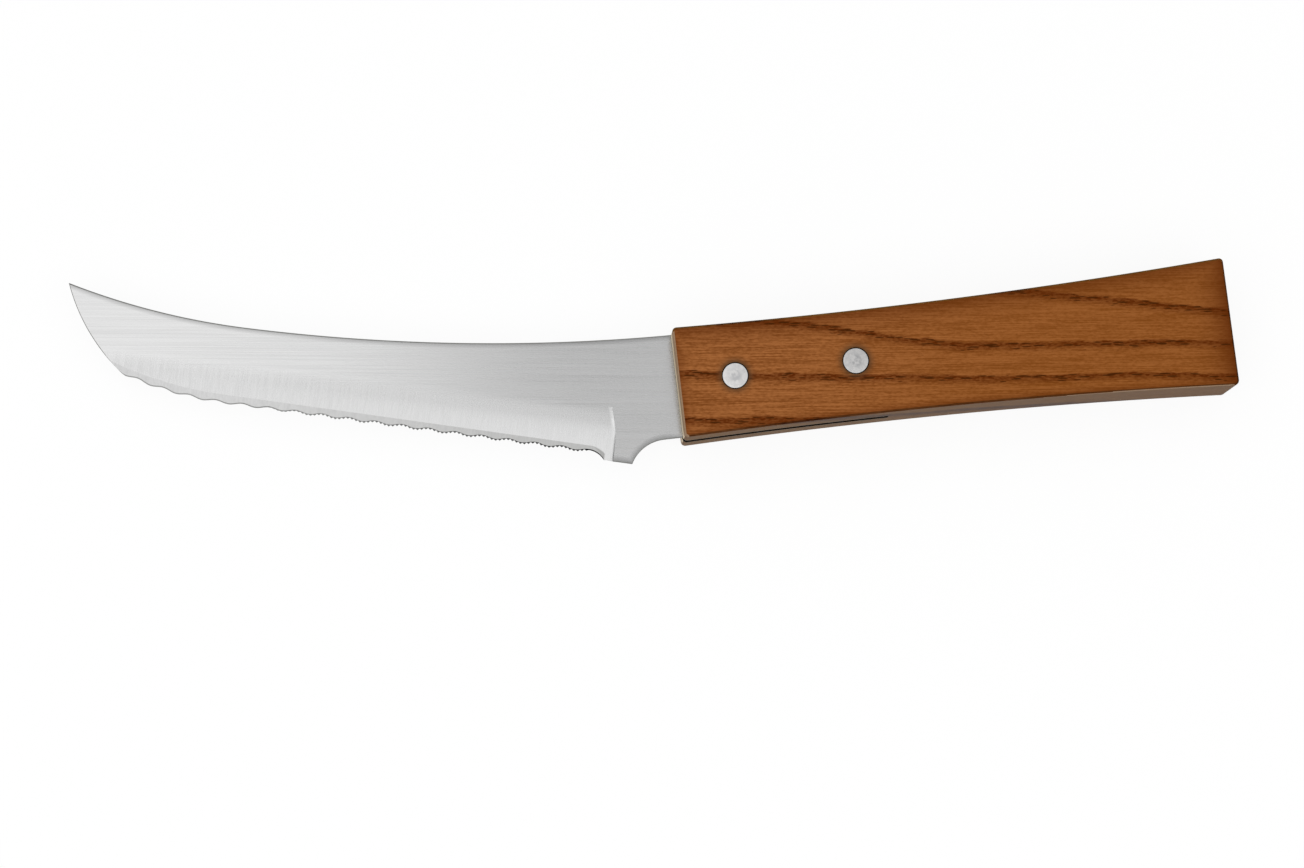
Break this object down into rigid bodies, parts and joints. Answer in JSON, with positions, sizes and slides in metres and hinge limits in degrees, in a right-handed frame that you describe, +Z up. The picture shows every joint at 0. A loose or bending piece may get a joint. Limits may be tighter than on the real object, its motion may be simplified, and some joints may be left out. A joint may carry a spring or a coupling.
{
  "type": "soft cheese knife",
  "caption": "Soft cheese knife lying on its side: upswept wave-serrated steel blade with a half tang, riveted into the saw slot of a plain wooden handle.",
  "frame": {"origin": "middle of the bounding box, on the surface that the knife lies on", "axes": "+X along the handle axis from blade to butt, +Y from cutting edge to spine, +Z up through the thickness, towards the knife's left side"},
  "size_m": [0.236, 0.05, 0.016],
  "materials": {
    "wood": "oiled, open grain",
    "steel": "satin, brushed along the blade and ground across the edge zone",
    "aluminium": "satin, peened"
  },
  "bodies": {
    "root": {"handle": "wood", "blade": "steel", "rivet_front": "aluminium", "rivet_rear": "aluminium"}
  },
  "joints": []
}
